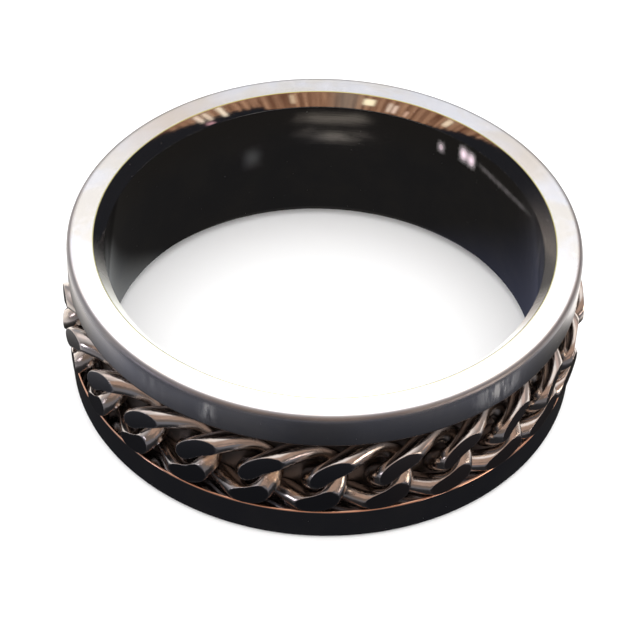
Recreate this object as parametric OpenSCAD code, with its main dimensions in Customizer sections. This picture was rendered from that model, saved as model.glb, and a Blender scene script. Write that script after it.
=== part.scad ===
// Chain link ring: a polished steel band with a closed curb chain lying loose in its groove.
// The ring lies flat. The origin is on the ring's axis, in the plane of its lower edge face,
// +Z runs up along the axis, and -Y is the front. All sizes are in millimetres.

/* [Band] */
// Diameter of the bore that the finger goes through
bore_d = 16.5; // [14:0.1:22]
// Width of the band, along the ring's axis
band_w = 6.2; // [5.6:0.1:9]
// Wall of the plain rims, from the bore out to their faces
rim_wall = 1.4; // [1.3:0.05:2]
// Width of the groove between the two rims, along the axis
groove_w = 3.4; // [3.3:0.05:4.2]
// Steel left between the bore and the floor of the groove
floor_wall = 0.62; // [0.5:0.02:0.7]
// Width of the bevel inside each mouth of the bore, seen along the axis
bevel_w = 0.4; // [0.2:0.05:0.6]
// Height of that bevel, along the axis
bevel_h = 0.48; // [0.2:0.02:0.8]
// Radius that softens the band's outer edges
edge_r = 0.07; // [0.04:0.01:0.14]

/* [Chain] */
// Width of the chain, along the ring's axis
chain_w = 2.84; // [2.76:0.02:3.14]
// Diameter of the wire that the links are bent from
wire_d = 0.8; // [0.7:0.02:0.84]
// Inner length of a link's eye, before the last slack is taken up
eye_l = 2.42; // [2.25:0.01:2.8]
// Slack between two links, along the chain
link_slack = 0.1; // [0.07:0.01:0.14]
// How far the ground faces stand proud of the rims
chain_proud = 0.13; // [0.05:0.01:0.2]
// Depth that the flat outer face is ground into the wire, at the wire's crest
ground_depth = 0.32; // [0.2:0.01:0.36]
// Angle of the first link, round from the front
first_link_at = 8.9; // [0:0.1:14.4]

/* [Clearances] */
// Gap between the chain's inner faces and the floor of the groove
floor_gap = 0.03; // [0.02:0.005:0.05]
// Gap between the chain's lower edge and the lower rim that it rests on
seat_gap = 0.03; // [0.01:0.01:0.1]

/* [Detail] */
// Sections round a link
link_sections = 16; // [16:2:20]
// Steps in each rounded edge of the band
edge_steps = 4; // [2:1:8]

/* [Hidden] */
bore_r = bore_d / 2;
rim_r = bore_r + rim_wall;
floor_r = bore_r + floor_wall;
groove_low = (band_w - groove_w) / 2;
groove_high = (band_w + groove_w) / 2;

// Height of the chain's middle where it rests on the lower rim
chain_mid = groove_low + seat_gap + chain_w / 2;

// A link's half width, and the rise of its sides, which lets one wire pass another.
// The rise is a share of the wire. A link narrower than free_width wires rises more,
// by half of what it lacks.
wire_r = wire_d / 2;
link_b = (chain_w - wire_d) / 2;
rise_share = 0.63;
free_width = 1.32;
link_rise = rise_share * wire_d + max(0, free_width * wire_d - link_b) / 2;

// Each link's outer face is ground flat. Its inner side is ground to the floor of the groove.
chain_out = rim_r + chain_proud;
chain_in = floor_r + floor_gap;
outer_face = link_rise + wire_r - ground_depth;
chain_r = chain_out - outer_face;
inner_face = chain_r - chain_in;

// As many links as go round, and the pitch that closes the loop
link_count = round(180 / atan((eye_l - link_slack) / 2 / chain_r));
pitch_angle = 360 / link_count;
pitch = 2 * chain_r * tan(pitch_angle / 2);

// A link's half length
link_a = (pitch + wire_d + link_slack) / 2;
// Half the angle of the wire's flats where nothing is ground off
plain_flat = 30;

function link_name(k) = str("link_", k < 10 ? "0" : "", k);

$fn = 128;

function unit(v) = v / norm(v);

// Quarter of a circle of radius r about c, from the angle start, counterclockwise
function corner(c, r, start) =
    [for (i = [0:edge_steps]) let (t = start + 90 * i / edge_steps) c + r * [cos(t), sin(t)]];

// Half section of the band: the bore and its two bevels, then the groove between the rims
function band_section() = concat(
    [[bore_r, band_w - bevel_h], [bore_r, bevel_h], [bore_r + bevel_w, 0]],
    corner([rim_r - edge_r, edge_r], edge_r, 270),
    corner([rim_r - edge_r, groove_low - edge_r], edge_r, 0),
    [[floor_r, groove_low], [floor_r, groove_high]],
    corner([rim_r - edge_r, groove_high + edge_r], edge_r, 270),
    corner([rim_r - edge_r, band_w - edge_r], edge_r, 0),
    [[bore_r + bevel_w, band_w]]
);

// Centreline of a link: x along the chain, y along the ring's axis, z outward
function link_point(t) = [link_a * cos(t), link_b * sin(t), -link_rise * sin(2 * t)];
function link_course(t) = unit([-link_a * sin(t), link_b * cos(t), -2 * link_rise * cos(2 * t)]);

// Ground flat on a wire: its middle angle, and half its angle, where n is the face's normal in the
// wire's section and depth is how far the face lies beyond the wire's middle
function ground_flat(n, depth) =
    [atan2(n[1], n[0]), max(plain_flat, acos(max(-1, min(1, depth / wire_r / norm(n)))))];

// Six corners of the wire at t: two on the outer flat, two on the inner one, and one at each side
function wire_section(t) =
    let (
        c = link_point(t),
        v = link_course(t),
        rise = [0, 0, 1] - v * v[2],
        lean = norm(rise),
        up = rise / lean,
        side = cross(v, up),
        turn = c[0] / chain_in,
        outer = ground_flat([0, lean], outer_face - c[2]),
        inner = ground_flat([-turn * side[0], -lean - turn * up[0]],
            inner_face + c[2] + turn * c[0] / 2),
        outer_left = outer[0] + outer[1],
        outer_right = outer[0] - outer[1],
        inner_left = inner[0] + 360 - inner[1],
        inner_right = inner[0] + inner[1]
    )
    [for (s = [outer_right, outer_left, (outer_left + inner_left) / 2,
            inner_left, inner_right, (inner_right + outer_right) / 2])
        c + wire_r * (cos(s) * side + sin(s) * up)];

// One closed link, swept round its centreline
module link_body() {
    n = link_sections;
    points = [for (i = [0:n - 1]) each wire_section(360 * i / n)];
    corners = len(wire_section(0));
    faces = [for (i = [0:n - 1], j = [0:corners - 1])
        let (
            i2 = (i + 1) % n * corners,
            j2 = (j + 1) % corners,
            a = i * corners + j, b = i * corners + j2, c = i2 + j2, d = i2 + j
        )
        each [[a, c, b], [a, d, c]]];
    polyhedron(points = points, faces = faces, convexity = 6);
}

// The band, turned in one piece with its groove
module band() {
    color([0.80, 0.80, 0.83])
    rotate_extrude() polygon(band_section());
}

// Link number k of the closed chain, in its place round the groove
module chain_link(k) {
    color(k % 2 == 0 ? [0.36, 0.34, 0.35] : [0.44, 0.40, 0.38])
    rotate([0, 0, first_link_at + (k - 1) * pitch_angle])
    translate([0, -chain_r, chain_mid])
    rotate([90, 0, 0])
    link_body();
}

band();
for (k = [1:link_count])
    chain_link(k);
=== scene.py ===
from math import cos, pi, radians, sin, tan

import bpy
import numpy as np
from mathutils import Matrix, Vector


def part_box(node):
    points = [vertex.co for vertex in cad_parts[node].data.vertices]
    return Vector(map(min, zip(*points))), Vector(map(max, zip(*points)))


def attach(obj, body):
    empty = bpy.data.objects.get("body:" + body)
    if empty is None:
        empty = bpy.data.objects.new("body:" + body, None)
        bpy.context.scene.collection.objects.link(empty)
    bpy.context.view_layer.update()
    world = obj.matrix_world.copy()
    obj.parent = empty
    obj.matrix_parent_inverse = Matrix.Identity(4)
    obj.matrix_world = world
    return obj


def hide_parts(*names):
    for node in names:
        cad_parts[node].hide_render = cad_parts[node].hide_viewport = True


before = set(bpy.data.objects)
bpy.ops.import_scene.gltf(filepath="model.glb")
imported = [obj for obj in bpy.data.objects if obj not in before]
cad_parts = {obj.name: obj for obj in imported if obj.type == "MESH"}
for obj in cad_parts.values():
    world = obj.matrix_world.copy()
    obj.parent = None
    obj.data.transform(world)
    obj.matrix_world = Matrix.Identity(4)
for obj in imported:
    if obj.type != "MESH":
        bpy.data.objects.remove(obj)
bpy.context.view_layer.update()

# THE BAND
# One piece of polished steel, turned on a lathe: two plain rims with flat edge faces, a groove
# between them for the chain, and a bevel inside each mouth of the bore. Sizes are in millimetres.
MM = 0.001
TURN = 2 * pi
top_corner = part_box("band")[1]
RIM_R, BAND_W = round(top_corner.x / MM, 2), round(top_corner.z / MM, 2)
BORE_R = 8.25
FLOOR_R = 8.87
GROOVE_W = 3.4
GROOVE_LOW, GROOVE_HIGH = (BAND_W - GROOVE_W) / 2, (BAND_W + GROOVE_W) / 2
BEVEL_W, BEVEL_H = 0.4, 0.48
BEVEL_R = BORE_R + BEVEL_W
# Radii of the corners: those left sharp, the bevels' in the bore, the groove's outer edges, and the
# outer shoulders, which the hand polishing rounds widely
CREASE_R, SOFT_R, EDGE_R, SHOULDER_R = 0.025, 0.05, 0.07, 0.22
BAND_STEPS = 512


def rounded_section(corners, radii, steps=8, support=0.03):
    """A closed section with each corner turned into an arc of its own radius. The arc touches both
    sides at the distance radius / tan(half the corner's angle), and one more point lies a little
    past each of its ends, so that the flats beside it stay flat. Returns (number of points, 2)."""
    p = np.array(corners, float)
    to_last, to_next = np.roll(p, 1, 0) - p, np.roll(p, -1, 0) - p
    to_last /= np.linalg.norm(to_last, axis=1, keepdims=True)
    to_next /= np.linalg.norm(to_next, axis=1, keepdims=True)
    half = np.arccos(np.clip((to_last * to_next).sum(1), -1, 1)) / 2
    radius = np.array(radii, float)
    reach = (radius / np.tan(half))[:, None]
    middle = to_last + to_next
    middle /= np.linalg.norm(middle, axis=1, keepdims=True)
    centre = p + middle * (radius / np.sin(half))[:, None]
    first, last = p + to_last * reach - centre, p + to_next * reach - centre
    sweep = (pi - 2 * half)[:, None, None]
    share = np.linspace(0, 1, steps + 1)[None, :, None]
    arc = np.sin((1 - share) * sweep) * first[:, None] + np.sin(share * sweep) * last[:, None]
    before, after = p + to_last * (reach + support), p + to_next * (reach + support)
    points = [before[:, None], centre[:, None] + arc / np.sin(sweep), after[:, None]]
    return np.concatenate(points, 1).reshape(-1, 2)


def grid_piece(name, points, material, uv=None, marks=None):
    """A closed surface from a grid of points (rows, columns, 3) in millimetres. Both ways round it
    closes on itself, so each point is joined to the next row's and the next column's, with wrap.
    Marks are named values from 0 to 1 at the points, for its material."""
    rows, columns = points.shape[:2]
    i, j = np.meshgrid(np.arange(rows), np.arange(columns), indexing="ij")
    i2, j2 = (i + 1) % rows, (j + 1) % columns
    quads = np.stack([i * columns + j, i2 * columns + j, i2 * columns + j2, i * columns + j2], -1)
    mesh = bpy.data.meshes.new(name)
    mesh.from_pydata((points.reshape(-1, 3) * MM).tolist(), [], quads.reshape(-1, 4).tolist())
    mesh.polygons.foreach_set("use_smooth", np.ones(rows * columns, bool))
    if uv is not None:
        corner_uv = np.stack([uv(i, j), uv(i + 1, j), uv(i + 1, j + 1), uv(i, j + 1)], 2)
        layer = mesh.uv_layers.new(name="wire")
        layer.data.foreach_set("uv", corner_uv.reshape(-1).astype(np.float32))
    for mark, values in (marks or {}).items():
        layer = mesh.attributes.new(mark, "FLOAT", "POINT")
        layer.data.foreach_set("value", values.reshape(-1).astype(np.float32))
    mesh.materials.append(material)
    mesh.validate()
    piece = bpy.data.objects.new(name, mesh)
    bpy.context.scene.collection.objects.link(piece)
    return piece


def turned(name, section, steps, material):
    """The section carried round the axis: radius r and height z go to (r cos a, r sin a, z)."""
    a = (np.arange(steps) * TURN / steps)[:, None]
    r, z = section[None, :, 0], section[None, :, 1]
    return grid_piece(name, np.stack([r * np.cos(a), r * np.sin(a), z + 0 * a], -1), material)


class Field:
    """A socket in a material that can be reckoned with: each operator adds one Math node."""

    def __init__(self, socket):
        self.socket = socket

    def node(self, kind, settings=(), inputs=(), output=0):
        """Any other node in the same tree: its type, its settings, and its sockets' values or links."""
        tree = self.socket.id_data
        made = tree.nodes.new(kind)
        for setting, value in dict(settings).items():
            setattr(made, setting, value)
        for socket, value in dict(inputs).items():
            if isinstance(value, Field):
                tree.links.new(value.socket, made.inputs[socket])
            else:
                made.inputs[socket].default_value = value
        return Field(made.outputs[output])

    def math(self, operation, *values):
        return self.node("ShaderNodeMath", {"operation": operation}, enumerate(values))

    def __add__(self, other): return self.math("ADD", self, other)
    def __radd__(self, other): return self.math("ADD", other, self)
    def __sub__(self, other): return self.math("SUBTRACT", self, other)
    def __rsub__(self, other): return self.math("SUBTRACT", other, self)
    def __mul__(self, other): return self.math("MULTIPLY", self, other)
    def __rmul__(self, other): return self.math("MULTIPLY", other, self)
    def __truediv__(self, other): return self.math("DIVIDE", self, other)
    def __pow__(self, other): return self.math("POWER", self, other)
    def __abs__(self): return self.math("ABSOLUTE", self)

    def rise(self, start, end, low=0.0, high=1.0):
        """Goes smoothly from low at start to high at end, and stays there beyond them."""
        return self.node("ShaderNodeMapRange", {"interpolation_type": "SMOOTHSTEP"},
                         {"Value": self, "From Min": start, "From Max": end, "To Min": low, "To Max": high})

    def near(self, place, reach):
        """One at place, and smoothly down to nothing at the distance reach."""
        return 1 - abs(self - place).rise(0.0, reach)

    def within(self, place, half, soft):
        """One as far as half from place, with an edge that is soft to both sides of there."""
        return 1 - abs(self - place).rise(half - soft, half + soft)

    def axis(self, name):
        return self.node("ShaderNodeSeparateXYZ", (), {"Vector": self}, name)

    def times(self, x, y, z):
        """Each part of a vector by its own number."""
        return self.node("ShaderNodeVectorMath", {"operation": "MULTIPLY"}, {0: self, 1: (x, y, z)})

    def scaled(self, scale):
        """All parts of a vector by the same number or field."""
        return self.node("ShaderNodeVectorMath", {"operation": "SCALE"}, {0: self, "Scale": scale})

    def noise(self, scale, detail=3.0, roughness=0.5, distortion=0.0):
        return self.node("ShaderNodeTexNoise", (), {
            "Vector": self, "Scale": scale, "Detail": detail, "Roughness": roughness,
            "Distortion": distortion})

    def mix(self, a, b):
        """From colour a to colour b, as this value goes from 0 to 1."""
        a, b = (colour if isinstance(colour, Field) else (*colour, 1) for colour in (a, b))
        return self.node("ShaderNodeMix", {"data_type": "RGBA"}, {0: self, 6: a, 7: b}, 2)


def point(x, y, z):
    """A vector of three fields or numbers, the first of them a field."""
    return x.node("ShaderNodeCombineXYZ", (), {"X": x, "Y": y, "Z": z})


def degrees_round(x, y):
    """Degrees round the axis from the front, up to 180 on the right and down to -180 on the left."""
    return x.math("ARCTAN2", x, 0 - y) * (180 / pi)


def places(tree):
    """The place on the object in millimetres, and the place on its UV map."""
    coordinates = tree.nodes.new("ShaderNodeTexCoord")
    return Field(coordinates.outputs["Object"]).scaled(1 / MM), Field(coordinates.outputs["UV"])


def finish_of(name):
    """A new metal: its material, its Principled shader, and its places on the object and the UV map."""
    material = bpy.data.materials.new(name)
    material.use_nodes = True
    shader = material.node_tree.nodes["Principled BSDF"]
    shader.inputs["Metallic"].default_value = 1.0
    return material, shader, *places(material.node_tree)


def wear(shader, colour, roughness, height, depth, film=None):
    """Feeds the shader: colour, roughness, and a bump from height, whose full step is depth in metres.
    Film is what covers the metal: where it is 1 the surface isn't metallic any more."""
    tree = shader.id_data
    bump = height.node("ShaderNodeBump", (), {"Height": height, "Distance": depth, "Strength": 1.0})
    for socket, field in ("Base Color", colour), ("Roughness", roughness), ("Normal", bump):
        tree.links.new(field.socket, shader.inputs[socket])
    if film:
        tree.links.new((1 - film).socket, shader.inputs["Metallic"])


# Finger marks on the upper rim
FINGER_MARKS = [
    # degrees round, reach, share
    (41.0, 9.0, 1.4),
    (-24.0, 3.0, 1.0),
    (-38.0, 5.0, 0.3),
]
# Spots and faint smudges of polishing paste in the bore; the first three spots are painted pink glints
PASTE_SPOTS_AND_GLINTS = [
    # degrees round, reach, height, reach, share
    (139.3, 2.3, 5.15, 0.55, 1.0),
    (136.5, 2.3, 5.08, 0.55, 1.0),
    (146.9, 1.8, 4.95, 0.40, 0.6),
    (-158.0, 4.0, 3.43, 0.70, 0.09),
    (97.0, 2.5, 4.60, 1.00, 0.06),
]
# Where the lathe's lines change: this often round the band, and this often for each millimetre across
LINES_ROUND, LINES_ACROSS = 1.6, 34.0
# painted shade: the walls' steel is much darker than the edge faces', and painted lighter high in the bore as
# lit
COOL_STEEL_IN_SHADE, WARM_STEEL_IN_SHADE, LIT_STEEL = (0.32, 0.325, 0.35), (0.38, 0.375, 0.38), (0.36, 0.34, 0.32)
# the groove's floor: painted shade
# the lower rim's edge: a painted copper highlight
GROOVE_STEEL_IN_SHADE, COPPER_LIP_HIGHLIGHT = (0.26, 0.235, 0.22), (0.80, 0.48, 0.34)
# painted light: the edge faces' steel is much brighter than the walls'
COOL_LIT_FACE, WARM_LIT_FACE, PALE_LIT_FACE = (0.86, 0.86, 0.90), (0.84, 0.80, 0.75), (0.96, 0.93, 0.93)
# tan on the edge faces: a painted reflection
# the brassy edge: a painted highlight line
TAN_FACE_REFLECTION, BRASSY_EDGE_HIGHLIGHT = (0.72, 0.61, 0.52), (0.50, 0.47, 0.22)
DUST = (0.74, 0.72, 0.69)
# the pink towards the back right of the bore: painted glints, and paste
PINK_PASTE_AND_GLINT, GREY_PASTE, WARM_PASTE, WHITE_PASTE = \
    (0.98, 0.76, 0.86), (0.76, 0.77, 0.71), (0.80, 0.72, 0.66), (0.97, 0.97, 0.95)


def band_steel():
    """Mirror walls with fine turning lines, and edge faces, brushed round in the lathe. The walls are painted
    dark as shade, and the edge faces painted bright as light.
    """
    material, shader, place, _ = finish_of("band_steel")
    x, y, z = (place.axis(name) for name in "XYZ")
    radius = (x * x + y * y) ** 0.5
    turn = degrees_round(x, y)

    # where its surfaces are: the edge faces, the bore with its bevels, the groove's floor, the upper
    # shoulder, and the lower rim's edge along the groove
    face = 1 - z.rise(0.002, 0.03) + z.rise(BAND_W - 0.03, BAND_W - 0.002)
    inner = 1 - radius.rise(BEVEL_R - 0.03, BEVEL_R)
    groove = (1 - radius.rise(FLOOR_R, FLOOR_R + 0.5)) * z.rise(GROOVE_LOW - 0.02, GROOVE_LOW) * \
        (1 - z.rise(GROOVE_HIGH, GROOVE_HIGH + 0.02)) * (1 - inner)
    shoulder = radius.rise(RIM_R - 0.24, RIM_R - 0.1) * z.rise(BAND_W - 0.42, BAND_W - 0.1)
    lip = z.near(GROOVE_LOW - 0.02, 0.06) * radius.rise(RIM_R - 0.12, RIM_R - 0.05)

    # turning lines: fast across the lathe's feed, slow round the band
    feed = radius * face + z * (1 - face)
    lines = point(x / radius * LINES_ROUND, y / radius * LINES_ROUND, feed * LINES_ACROSS).noise(1.0, 4.0, 0.7)
    cloud = place.noise(0.55, 4.0, 0.6)
    blotch = place.noise(0.42, 3.0, 0.55, 0.6)
    mottle = place.noise(2.1, 4.0, 0.7, 0.4)
    specks = place.node("ShaderNodeTexVoronoi", {"feature": "F1"}, {"Vector": place, "Scale": 2.6})
    dust = 1 - specks.rise(0.02, 0.045)

    # finger marks on the upper rim, drawn out along the axis
    drawn_up = place.times(2.2, 2.2, 0.35).noise(1.4, 4.0, 0.65)
    touched = sum(turn.near(at, reach) * share for at, reach, share in FINGER_MARKS)
    finger = drawn_up.rise(0.40, 0.62) * touched * radius.rise(RIM_R - 0.3, RIM_R - 0.2) * \
        z.rise(GROOVE_HIGH, GROOVE_HIGH + 0.7) * (1 - z.rise(BAND_W - 0.4, BAND_W - 0.2))

    # pale marks in the bore: spots, the first three of them painted pink glints, a swept streak that curves
    # up to both ends, also a painted glint, and a thin film of polishing paste along the front and the right,
    # thicker towards the bevel
    spots = sum(turn.near(at, wide) * z.near(up, tall) * share for at, wide, up, tall, share in PASTE_SPOTS_AND_GLINTS)
    streak_height = z - (turn - 123) * (turn - 123) * 0.0016
    swept = streak_height.near(4.93, 0.24) * turn.rise(105.0, 114.0) * (1 - turn.rise(131.0, 136.0)) * \
        drawn_up.rise(0.30, 0.70, 0.09, 0.16)
    front_film = turn.rise(-88.0, -56.0) * (1 - turn.rise(52.0, 84.0)) * \
        z.rise(2.0, BAND_W - 0.3, 0.25, 0.9)
    right_film = turn.near(72.0, 46.0) * z.rise(2.6, BAND_W - 0.1) * 0.16
    film = inner * (spots + swept + front_film.math("MAXIMUM", front_film, right_film))
    paste_and_glint = turn.rise(0.0, 40.0).mix(GREY_PASTE, WARM_PASTE)
    paste_and_glint = turn.rise(88.0, 106.0).mix(paste_and_glint, PINK_PASTE_AND_GLINT)
    paste_and_glint = abs(turn).rise(66.0, 50.0).mix(paste_and_glint, WHITE_PASTE)

    # painted shade on the walls, and painted light towards the top of the bore
    wall = cloud.rise(0.35, 0.7).mix(COOL_STEEL_IN_SHADE, WARM_STEEL_IN_SHADE)
    wall = (inner * z.rise(BAND_W - 2.6, BAND_W - 0.6) * 0.8).mix(wall, LIT_STEEL)
    # painted shade: the groove's floor under the chain is darker and browner
    wall = groove.mix(wall, GROOVE_STEEL_IN_SHADE)
    # painted highlight: a thin copper line along the lower rim's edge by the groove
    wall = lip.mix(wall, COPPER_LIP_HIGHLIGHT)
    # painted light on the edge faces, with paler mottling
    bright = blotch.rise(0.38, 0.66).mix(COOL_LIT_FACE, WARM_LIT_FACE)
    bright = (mottle.rise(0.5, 0.75) * 0.5).mix(bright, PALE_LIT_FACE)
    # painted reflection: the edge faces turn tan at two bearings towards the back
    bright = (turn.near(-136.0, 26.0) * 0.7 + turn.near(124.0, 20.0) * 0.4).mix(bright, TAN_FACE_REFLECTION)
    # painted highlight: a thin brassy line along the inner edge of each edge face
    bright = radius.near(BEVEL_R, 0.07).mix(bright, BRASSY_EDGE_HIGHLIGHT)
    colour = face.mix(wall, bright)
    colour = (dust * 0.5 + finger * 0.5).mix(colour, DUST)
    # the bore's pale marks: paste, and painted glints
    colour = film.mix(colour, paste_and_glint)

    roughness = 0.04 + face * 0.11 + lines * 0.025 + cloud.rise(0.5, 0.8) * 0.03 + (1 - inner) * 0.015 + \
        groove * 0.35 + shoulder * 0.36 + finger * 0.25 + dust * 0.3 + film * 0.5
    height = lines * 0.5 + face * lines * 1.2 + dust * 0.8
    wear(shader, colour, roughness, height, 0.0000012, film + finger * 0.15)
    return material


section = rounded_section(
    [(BORE_R, BAND_W - BEVEL_H), (BORE_R, BEVEL_H), (BEVEL_R, 0), (RIM_R, 0), (RIM_R, GROOVE_LOW),
     (FLOOR_R, GROOVE_LOW), (FLOOR_R, GROOVE_HIGH), (RIM_R, GROOVE_HIGH), (RIM_R, BAND_W), (BEVEL_R, BAND_W)],
    [SOFT_R, SOFT_R, CREASE_R, SHOULDER_R, EDGE_R, CREASE_R, CREASE_R, EDGE_R, SHOULDER_R, CREASE_R])
band = turned("ring_band", section, BAND_STEPS, band_steel())
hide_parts("band")
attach(band, "root")

# THE CHAIN
# A closed curb chain of twisted steel links. After it was laid in the groove its outer side was
# ground flat, which left a lens-shaped face on each side of a link, painted dark as a reflection. It lies
# loose.
LINKS = 25
FIRST_LINK_AT = radians(8.9)
CHAIN_W, WIRE_R, SLACK = 2.84, 0.4, 0.1
CHAIN_MID = GROOVE_LOW + 0.03 + CHAIN_W / 2
LINK_B, LINK_RISE = CHAIN_W / 2 - WIRE_R, 0.522
CHAIN_PROUD = 0.13
GROUND_DEPTH = 0.32
OUTER_FACE = LINK_RISE + WIRE_R - GROUND_DEPTH
CHAIN_R = RIM_R + CHAIN_PROUD - OUTER_FACE
LINK_A = CHAIN_R * tan(pi / LINKS) + WIRE_R + SLACK / 2
INNER_FACE = CHAIN_R - FLOOR_R - 0.03
LINK_ROWS = 128
# Points round the wire: on its ground face, its left side, its inner face and its right side
WIRE_POINTS = (20, 12, 10, 12)
# Half the angle that a flat always keeps, how softly its creases are rounded, and how wide their wear and
# painted highlight run
LEAST_FLAT = 0.22
CREASE_SOFT, CREASE_WEAR_AND_HIGHLIGHT = 0.02, 0.022
SEAM_HALF = radians(11)
# How far the solder swells a seam: a little, and on two links that show it, more
NEAT_SOLDER, THICK_SOLDER = 0.006, 0.03
THICK_SEAMS = (22, 23)
# How far each ground face leans with x and with y, and how much deeper it is ground
LEAN_LOW, LEAN_HIGH = (-0.03, -0.01, 0), (0.03, 0.04, 0.02)


def soft_min(a, b, soft):
    """The lower of two values, with the corner between them rounded over the width soft."""
    share = np.clip(0.5 + 0.5 * (b - a) / soft, 0, 1)
    return b * (1 - share) + a * share - soft * share * (1 - share)


def link_surface(lean_x, lean_y, deeper, solder, phase):
    """One link in its own frame: x along the chain, y along the ring's axis, z outward. Its wire
    follows (a cos t, b sin t, -rise sin 2t). Each section is drawn round a pole halfway between the
    inner plane and the far side of the wire. Its radius there is the softly rounded lowest of
    three: the round wire, the way out to the ground plane, whose height leans with x and y, and
    the way in to the groove's floor. The solder swells the end at t = 0. Also returns three marks:
    the ground face, the crease round it, and the soldered seam."""
    t = (np.arange(LINK_ROWS) + 0.5) * TURN / LINK_ROWS
    course = np.stack([LINK_A * np.cos(t), LINK_B * np.sin(t), -LINK_RISE * np.sin(2 * t)], -1)
    along = np.stack([-LINK_A * np.sin(t), LINK_B * np.cos(t), -2 * LINK_RISE * np.cos(2 * t)], -1)
    along /= np.linalg.norm(along, axis=1, keepdims=True)
    up = np.array([0, 0, 1]) - along * along[:, 2:]
    up /= np.linalg.norm(up, axis=1, keepdims=True)
    side = np.cross(along, up)

    def flat(normal, depth):
        """A plane's way through the wire's sections: its middle angle and its distance there."""
        n_side, n_up = (normal * side).sum(1), (normal * up).sum(1)
        size = np.hypot(n_side, n_up)
        return np.arctan2(n_up, n_side), depth / size

    outward = np.array([-lean_x, -lean_y, 1.0])
    outer = flat(outward[None], OUTER_FACE - deeper - course @ outward)
    turn_in = course[:, :1] / (CHAIN_R - INNER_FACE)
    inward = np.concatenate([-turn_in, 0 * turn_in, -1 + 0 * turn_in], 1)
    inner = flat(inward, INNER_FACE + course[:, 2] + turn_in[:, 0] * course[:, 0] / 2)

    def half_angle(distance):
        return np.arccos(np.clip(distance / WIRE_R, -1, np.cos(LEAST_FLAT)))

    # the four creases between the flats and the wire, as angles round the pole, and the points
    # between them, closer together towards each crease
    halves = half_angle(outer[1]), half_angle(inner[1])
    corners = np.stack([outer[0] - halves[0], outer[0] + halves[0],
                        inner[0] - halves[1], inner[0] + halves[1]])
    sunk = np.minimum(0, (inner[1] - WIRE_R) / 2)
    pole = sunk * np.cos(inner[0]), sunk * np.sin(inner[0])
    edges = np.arctan2(WIRE_R * np.sin(corners) - pole[1], WIRE_R * np.cos(corners) - pole[0])
    edges = edges[:1] + (edges - edges[:1]) % TURN
    edges = np.concatenate([edges, edges[:1] + TURN])
    columns = []
    for start, end, count in zip(edges[:-1], edges[1:], WIRE_POINTS):
        share = (1 - np.cos(pi * np.arange(count) / count)) / 2
        columns.append(start[:, None] + (end - start)[:, None] * share[None])
    s = np.concatenate(columns, 1)

    def way(plane, grazing=0.05, far=9.0):
        """How far each direction from the pole goes before it meets the plane."""
        cosine = np.cos(s - plane[0][:, None])
        distance = plane[1] - pole[0] * np.cos(plane[0]) - pole[1] * np.sin(plane[0])
        return np.where(cosine > grazing, distance[:, None] / np.maximum(cosine, grazing), far)

    ahead = pole[0][:, None] * np.cos(s) + pole[1][:, None] * np.sin(s)
    wire = (ahead ** 2 + WIRE_R ** 2 - sunk[:, None] ** 2) ** 0.5 - ahead
    out = way(outer)
    radius = soft_min(soft_min(wire, out, CREASE_SOFT), way(inner), CREASE_SOFT)
    middle = course + pole[0][:, None] * side + pole[1][:, None] * up
    reach = np.cos(s)[..., None] * side[:, None] + np.sin(s)[..., None] * up[:, None]
    from_seam = (t + pi) % TURN - pi
    outer_side = np.clip(reach @ np.array([0.8, 0, 0.6]) + 0.2, 0, 1)
    seam = np.exp(-(from_seam[:, None] / SEAM_HALF) ** 4) * outer_side
    lumps = 1 + 0.6 * np.sin(5 * s + phase) * np.sin(24 * from_seam[:, None] + 2 * phase)
    radius = radius + solder * seam * lumps
    marks = {"ground": np.clip(0.5 - (out - wire) / CREASE_SOFT, 0, 1),
             "crease": np.clip(1 - np.abs(out - wire + CREASE_SOFT / 5) / CREASE_WEAR_AND_HIGHLIGHT, 0, 1),
             "seam": seam * solder / THICK_SOLDER}
    return middle[:, None] + radius[..., None] * reach, marks


def place_link(points, number):
    """The link's frame, turned to its place round the groove."""
    a = FIRST_LINK_AT + number * TURN / LINKS
    outward, along = np.array([sin(a), -cos(a), 0]), np.array([cos(a), sin(a), 0])
    return ((CHAIN_R + points[..., 2:]) * outward + points[..., :1] * along
            + (CHAIN_MID + points[..., 1:2]) * np.array([0, 0, 1]))


# the third: painted shade deep in the groove
GREY_BRONZE, WARM_BRONZE, SHADE_LOW_IN_GROOVE = (0.60, 0.575, 0.56), (0.62, 0.56, 0.51), (0.27, 0.255, 0.245)
# painted reflection: the ground faces' dark blue and brown
GROUND_REFLECTION_BLUE, GROUND_REFLECTION_BROWN = (0.21, 0.215, 0.235), (0.34, 0.285, 0.27)
# rubbed creases, also painted bright as a highlight
WORN_CREASE_HIGHLIGHT, SOLDER = (0.92, 0.86, 0.82), (0.72, 0.58, 0.45)


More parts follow.
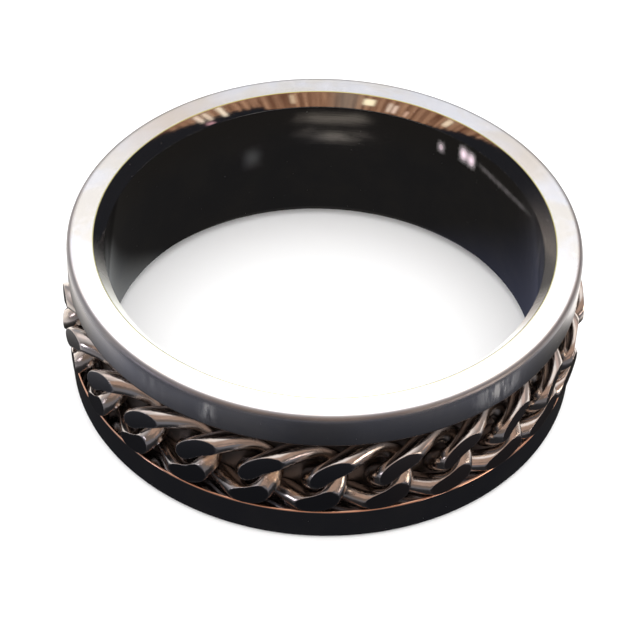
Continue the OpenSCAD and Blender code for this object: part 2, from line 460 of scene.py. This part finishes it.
def chain_metal():
    """Gunmetal wire with a warm bronze cast on its round sides, drawn lines along it, and painted shade low in
    the joints. The ground faces are plainer, painted dark as a reflection, blue on the left and brown on the
    right, with rubbed creases painted bright as a highlight."""
    material, shader, place, wire = finish_of("chain_metal")
    x, y = place.axis("X"), place.axis("Y")
    radius = (x * x + y * y) ** 0.5
    ground, crease, seam = (place.node("ShaderNodeAttribute", {"attribute_name": mark}, (), 2)
                            for mark in ("ground", "crease", "seam"))
    cloud = place.noise(1.3, 4.0, 0.6)
    depth = 1 - radius.rise(FLOOR_R, RIM_R - 0.15)
    drawn = wire.times(3, 26, 1).noise(6.0, 3.0, 0.6)
    grit = place.noise(9.0, 3.0, 0.7)
    scratch = place.times(4, 4, 30).noise(1.2, 3.0, 0.6)
    bronze = cloud.rise(0.35, 0.7).mix(GREY_BRONZE, WARM_BRONZE)
    # painted shade: the wire darkens towards the groove's floor
    bronze = (depth * 0.5).mix(bronze, SHADE_LOW_IN_GROOVE)
    # painted reflection: the ground faces are dark, blue to the left and brown to the right
    colour = ground.mix(bronze, x.rise(0.5, 4.5).mix(GROUND_REFLECTION_BLUE, GROUND_REFLECTION_BROWN))
    # the creases are rubbed, and painted brighter as a highlight
    rubbed_and_highlit = crease * grit.rise(0.36, 0.56)
    colour = (rubbed_and_highlit * 0.8).mix(colour, WORN_CREASE_HIGHLIGHT)
    colour = seam.math("MINIMUM", seam, 1.0).mix(colour, SOLDER)
    roughness = 0.06 + cloud.rise(0.4, 0.7) * 0.05 + depth * 0.20 + drawn * 0.05 + rubbed_and_highlit * 0.15
    height = (drawn * 0.7 + grit * 0.5) * (1 - ground) + scratch * ground * 0.5 + \
        grit * seam * 7.0 + grit * rubbed_and_highlit * 2.0
    wear(shader, colour, roughness, height, 0.000004)
    return material


chain_finish = chain_metal()
bench = np.random.default_rng(25)
leans = bench.uniform(LEAN_LOW, LEAN_HIGH, (LINKS, 3))
solders = np.where(np.isin(np.arange(LINKS), THICK_SEAMS), THICK_SOLDER, NEAT_SOLDER)
phases = bench.uniform(0, TURN, LINKS)
for k in range(LINKS):
    surface, marks = link_surface(*leans[k], solders[k], phases[k])
    columns = surface.shape[1]
    link = grid_piece(f"chain_link_{k + 1:02d}", place_link(surface, k), chain_finish,
                      lambda i, j: np.stack([i / LINK_ROWS, j / columns], -1), marks)
    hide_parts(f"link_{k + 1:02d}")
    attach(link, "root")

# THE TABLE AND THE LIGHT
# A plain pale table under a soft even sky. Polished steel shows what stands round it, so a dark
# tabletop card, a studio tent and a strip of copper foil are there for its reflections alone. The
# camera never sees them.


def studio_piece(name, points, faces, material):
    """A piece of the studio from its points, in millimetres, and its faces."""
    mesh = bpy.data.meshes.new(name)
    mesh.from_pydata((points.reshape(-1, 3) * MM).tolist(), [], faces.reshape(-1, faces.shape[-1]).tolist())
    mesh.materials.append(material)
    piece = bpy.data.objects.new(name, mesh)
    bpy.context.scene.collection.objects.link(piece)
    return piece


def disc(name, radius, height, material, steps=96):
    """A flat round sheet at that height, as a fan of thin wedges."""
    a = np.arange(steps) * TURN / steps
    rim = np.stack([radius * np.cos(a), radius * np.sin(a), height + 0 * a], -1)
    i = np.arange(steps)
    wedges = np.stack([0 * i, i + 1, (i + 1) % steps + 1], -1)
    return studio_piece(name, np.concatenate([[[0, 0, height]], rim]), wedges, material)


def glow(name, paint):
    """A material that only shines: paint gives its colour from the place on the object, in millimetres."""
    material = bpy.data.materials.new(name)
    material.use_nodes = True
    tree = material.node_tree
    tree.nodes.remove(tree.nodes["Principled BSDF"])
    place = places(tree)[0]
    lamp = place.node("ShaderNodeEmission", (), {"Color": paint(place), "Strength": 1.0})
    tree.links.new(lamp.socket, tree.nodes["Material Output"].inputs["Surface"])
    return material


def for_reflections(piece):
    """The piece shows in polished metal only: it lights nothing else and casts no shadow."""
    piece.visible_camera = piece.visible_diffuse = piece.visible_shadow = False
    piece.visible_transmission = piece.visible_volume_scatter = False


# Light that falls through the bore onto the table
PATCHES = [
    # x, half width, y, half height, share
    (-0.15, 0.62, 1.72, 0.26, 0.75),
    (-0.05, 0.11, 2.95, 0.27, 1.0),
    (0.23, 0.03, 2.70, 0.32, 0.7),
    (-0.35, 0.04, 2.75, 0.20, 0.7),
    (0.60, 0.06, 1.85, 0.15, 0.6),
]
COOL_SHADE, WARM_SHADE = (0.98, 0.97, 1.07), (1.05, 0.99, 0.94)
PATCH_LIGHT, NAVY, PLAIN_GREY = (0.42, 0.385, 0.34), (0.09, 0.095, 0.135), (0.40, 0.41, 0.40)


def dark_tabletop(place):
    """The ring's own shade on the table. Outside, it is nearly black by the wall and clears with the
    distance to the power 4.4, sooner towards the back, by e to the power of a sum over the bearing.
    Inside, light falls through the bore in soft patches, and the far right and left are tinted."""
    x, y = place.axis("X"), place.axis("Y")
    distance = (x * x + y * y) ** 0.5
    away = (distance - RIM_R).math("MAXIMUM", distance - RIM_R, 0.0)
    aside, behind = x / distance, y / distance
    around = degrees_round(x, y)
    power = behind * 4.13 - aside * 0.25 - 6.3 + abs(aside).rise(0.03, 0.27) * 0.47 - \
        around.near(77.0, 22.0) * 0.8 + around.rise(90.0, 104.0) * 1.7
    clear = away ** 4.4 * x.math("EXPONENT", power)
    shade = clear.math("MINIMUM", clear, y.rise(-9.0, 3.0, 0.20, 1.3)) + 0.03
    colour = abs(around).rise(60.0, 90.0).mix(COOL_SHADE, WARM_SHADE).scaled(shade)
    inside = 1 - distance.rise(RIM_R - 0.4, RIM_R)
    for at_x, half_wide, at_y, half_tall, share in PATCHES:
        patch = x.within(at_x, half_wide, half_wide * 0.3) * y.within(at_y, half_tall, half_tall * 0.3)
        colour = (patch * share).mix(colour, PATCH_LIGHT)
    colour = (x.rise(3.2, 8.4) * inside).mix(colour, NAVY)
    return (x.rise(-5.6, -8.2) * inside).mix(colour, PLAIN_GREY)


# Lamps and panels of the tent
LAMPS = [
    # degrees round, half width, degrees up, half height, soft edge, colour
    (-88, 34, -14, 22, 14, (0.44, 0.44, 0.50)),
    (-135, 24, 5, 12, 8, (0.75, 0.66, 0.62)),
    (-124, 18, 44, 12, 8, (1.25, 1.12, 1.10)),
    (120, 20, 40, 12, 10, (0.85, 0.68, 0.62)),
    (-66, 4.5, -10, 20, 2, (4.4, 4.0, 4.4)),
    (45, 5.0, -2, 9, 3, (3.4, 2.7, 2.5)),
    (66, 9.0, 2, 13, 3, (4.8, 3.9, 3.2)),
    (90, 5.0, 0, 9, 4, (1.1, 0.75, 0.60)),
    (12, 9.0, 8, 7, 6, (0.62, 0.42, 0.34)),
]
DIM_CLOTH, LEFT_CLOTH, RIGHT_CLOTH = (0.055, 0.052, 0.060), (0.72, 0.67, 0.66), (0.44, 0.38, 0.36)
DULL_DRAPE, LIT_DRAPE = (0.14, 0.115, 0.105), (0.36, 0.29, 0.25)
DULL_COPPER, LIT_COPPER = (0.17, 0.125, 0.105), (0.92, 0.65, 0.52)
HIGH_CLOTH, TOP_LIGHT = (0.95, 0.88, 0.86), (1.35, 1.25, 1.2)
PANEL_FOOT, PANEL_EDGE, PANEL_LIGHT = (0.42, 0.42, 0.44), (0.86, 0.86, 0.88), (2.4, 2.4, 2.4)


def studio_tent(place):
    """Warm and dim in front, lighter to the sides and overhead, and with a bright panel high at the
    back. Each layer covers the ones before it within its own bearing and its own degrees up."""
    x, y, z = (place.axis(name) for name in "XYZ")
    size = (x * x + y * y + z * z) ** 0.5
    lift = x.math("ARCSINE", z / size) * (180 / pi)
    turn = degrees_round(x, y)
    side = abs(turn)
    folds = point(turn * 0.3, lift * 0.02, 0.0).noise(1.0, 5.0, 0.75)
    colour = side.rise(50.0, 105.0).mix(DIM_CLOTH, turn.rise(-20.0, 20.0).mix(LEFT_CLOTH, RIGHT_CLOTH))
    drape = (1 - side.rise(48.0, 80.0)) * lift.rise(-25.0, -8.0)
    colour = drape.mix(colour, folds.rise(0.3, 0.75).mix(DULL_DRAPE, LIT_DRAPE))
    colour = (lift.rise(24.0, 60.0) * 0.8).mix(colour, HIGH_CLOTH)
    copper = lift.rise(18.0, 26.0) * (1 - side.rise(60.0, 70.0))
    colour = copper.mix(colour, folds.rise(0.3, 0.7).mix(DULL_COPPER, LIT_COPPER))
    colour = lift.rise(52.0, 70.0).mix(colour, TOP_LIGHT)
    for around, half_wide, up, half_tall, soft, lamp in LAMPS:
        spot = turn.within(around, half_wide, soft / 2) * lift.within(up, half_tall, soft / 2)
        colour = spot.mix(colour, lamp)
    back = side.rise(140.0, 158.0)
    under_top = 1 - lift.rise(74.0, 84.0)
    colour = (back * lift.rise(-8.0, 10.0)).mix(colour, PANEL_FOOT)
    colour = (back * lift.rise(33.0, 36.5) * under_top).mix(colour, PANEL_EDGE)
    return (back * lift.rise(42.0, 47.0) * under_top).mix(colour, PANEL_LIGHT)


# Bright streaks on the copper foil
STREAKS = [
    # degrees from the back, half width, height, half of it, colour
    (7.9, 1.1, 7.64, 0.17, (3.0, 2.7, 1.9)),
    (12.2, 0.4, 7.52, 0.24, (2.0, 1.6, 1.3)),
    (13.4, 0.4, 7.48, 0.22, (2.2, 1.7, 1.4)),
    (16.0, 0.35, 7.35, 0.16, (1.8, 1.2, 0.9)),
    (24.3, 0.6, 7.55, 0.20, (2.3, 1.9, 1.4)),
    (-22.0, 0.5, 7.58, 0.30, (2.6, 2.3, 1.8)),
    (-25.2, 0.5, 7.52, 0.22, (2.3, 1.9, 1.5)),
    (-27.0, 0.5, 7.50, 0.20, (2.6, 2.2, 1.8)),
    (-7.5, 0.45, 7.66, 0.24, (1.7, 1.3, 0.9)),
    (-26.0, 0.8, 7.10, 0.10, (1.3, 0.75, 0.85)),
]
FOIL_R, FOIL_BACKING_R = 6.6, 6.54
FOIL_LOW, FOIL_HIGH, FOIL_REACH = 5.7, 8.4, radians(78)
DEEP_COPPER, BRIGHT_COPPER, GREY_FOIL = (0.26, 0.10, 0.055), (1.35, 0.80, 0.50), (0.62, 0.55, 0.46)
DARK_BLUE, DARK_BROWN = (0.035, 0.037, 0.045), (0.30, 0.26, 0.23)
BLACK_BACKING, GREY_BACKING = (0.02, 0.02, 0.02), (0.15, 0.14, 0.15)


def copper_foil(place):
    """A strip of creased copper foil over the bore, that only the bevel mirrors. Its lower edge is
    ragged and steps up to both sides, it runs out into a dark band, and upright creases streak it.
    The backing is dark, and greyer on the left."""
    x, y, z = (place.axis(name) for name in "XYZ")
    around = x.math("ARCTAN2", x, y) * (180 / pi)
    creases = point(around * 1.1, 0.0, z * 0.15).noise(1.0, 4.0, 0.75)
    bottom = around.rise(18.0, 36.0) * 0.55 + around.rise(-11.0, -15.0) * 0.4 + \
        around.rise(-28.0, -37.0) * 0.12 + 7.02
    lit = (z - bottom - (0.5 - creases) * 0.5).rise(-0.05, 0.07) * (1 - abs(around).rise(34.0, 38.0))
    copper = creases.rise(0.36, 0.70).mix(DEEP_COPPER, BRIGHT_COPPER)
    copper = (around.near(3.5, 5.0) * 0.6).mix(copper, GREY_FOIL)
    colour = lit.mix(around.rise(48.0, 74.0).mix(DARK_BLUE, DARK_BROWN), copper)
    for at, half_wide, up, half_tall, lamp in STREAKS:
        spot = around.within(at, half_wide, half_wide * 0.4) * z.within(up, half_tall, 0.04)
        colour = spot.mix(colour, lamp)
    facing_out = (x * x + y * y).rise((FOIL_R - 0.04) ** 2, (FOIL_R - 0.01) ** 2)
    return facing_out.mix(x.rise(-1.0, -4.0).mix(BLACK_BACKING, GREY_BACKING), colour)


# the tent: a sphere of rings from top to bottom, left open at its poles by less than its first ring
TENT_R, TENT_RINGS = 300, 64
TENT_COLUMNS = 2 * TENT_RINGS
theta = ((np.arange(TENT_RINGS) + 0.5) * pi / TENT_RINGS)[:, None]
phi = np.arange(TENT_COLUMNS) * TURN / TENT_COLUMNS
tent_grid = TENT_R * np.stack([np.sin(theta) * np.cos(phi), np.sin(theta) * np.sin(phi),
                               np.cos(theta) + 0 * phi], -1)
i, j = np.meshgrid(np.arange(TENT_RINGS - 1) * TENT_COLUMNS, np.arange(TENT_COLUMNS), indexing="ij")
i2, j2 = i + TENT_COLUMNS, (j + 1) % TENT_COLUMNS
tent_quads = np.stack([i + j, i2 + j, i2 + j2, i + j2], -1)
for_reflections(studio_piece("tent", tent_grid, tent_quads, glow("tent", studio_tent)))

for_reflections(disc("tabletop_card", 120, -0.03, glow("tabletop_card", dark_tabletop)))

# the foil's front and, just inside it, its dark backing, each a strip of upright quads
FOIL_QUADS = 64
a = radians(90) + np.linspace(-1, 1, FOIL_QUADS + 1) * FOIL_REACH
r = np.array([FOIL_R, FOIL_R, FOIL_BACKING_R, FOIL_BACKING_R])[:, None]
z = np.array([FOIL_LOW, FOIL_HIGH, FOIL_LOW, FOIL_HIGH])[:, None]
foil_grid = np.stack([r * np.cos(a), r * np.sin(a), z + 0 * a], -1)
k = np.arange(FOIL_QUADS) + np.array([[0], [2 * (FOIL_QUADS + 1)]])
foil_quads = np.stack([k, k + 1, k + FOIL_QUADS + 2, k + FOIL_QUADS + 1], -1)
for_reflections(studio_piece("copper_foil", foil_grid, foil_quads, glow("copper_foil", copper_foil)))

table_finish = bpy.data.materials.new("table")
table_finish.use_nodes = True
table_finish.node_tree.nodes["Principled BSDF"].inputs["Base Color"].default_value = (0.93, 0.93, 0.93, 1)
table_finish.node_tree.nodes["Principled BSDF"].inputs["Roughness"].default_value = 0.9
table = disc("table", 3000, -0.01, table_finish)
table.visible_glossy = False

world = bpy.data.worlds.new("soft_sky")
bpy.context.scene.world = world
world.use_nodes = True
world.node_tree.nodes["Background"].inputs["Color"].default_value = (1, 1, 1, 1)
world.node_tree.nodes["Background"].inputs["Strength"].default_value = 2.0
world.cycles_visibility.glossy = False

# THE CAMERA
# It looks down at the ring from about 43 degrees, from nine of the radii that its place was fitted
# with, and through a long lens.
LENS_PIXELS = 2272.6
FRAME_PIXELS = 640
SENSOR = 36
FITTED_R = 9.675
LIFT, ROLL = radians(42.681), radians(-2.033)
AWAY = 9.0 * FITTED_R
SHIFT_X, SHIFT_Y = 3.12, -25.89
camera_data = bpy.data.cameras.new("camera")
camera_data.sensor_width = SENSOR
camera_data.lens = LENS_PIXELS / FRAME_PIXELS * SENSOR
camera_data.shift_x, camera_data.shift_y = -SHIFT_X / FRAME_PIXELS, SHIFT_Y / FRAME_PIXELS
camera_data.clip_start = 0.001
camera = bpy.data.objects.new("camera", camera_data)
bpy.context.scene.collection.objects.link(camera)
back = Vector((0, -cos(LIFT), sin(LIFT)))
right = Vector((1, 0, 0))
above = back.cross(right)
right, above = right * cos(ROLL) - above * sin(ROLL), right * sin(ROLL) + above * cos(ROLL)
eye = (Vector((0, 0, BAND_W / 2)) + back * AWAY) * MM
camera.matrix_world = Matrix(((right.x, above.x, back.x, eye.x), (right.y, above.y, back.y, eye.y),
                              (right.z, above.z, back.z, eye.z), (0, 0, 0, 1)))
bpy.context.scene.camera = camera
bpy.context.scene.view_settings.view_transform = "Standard"
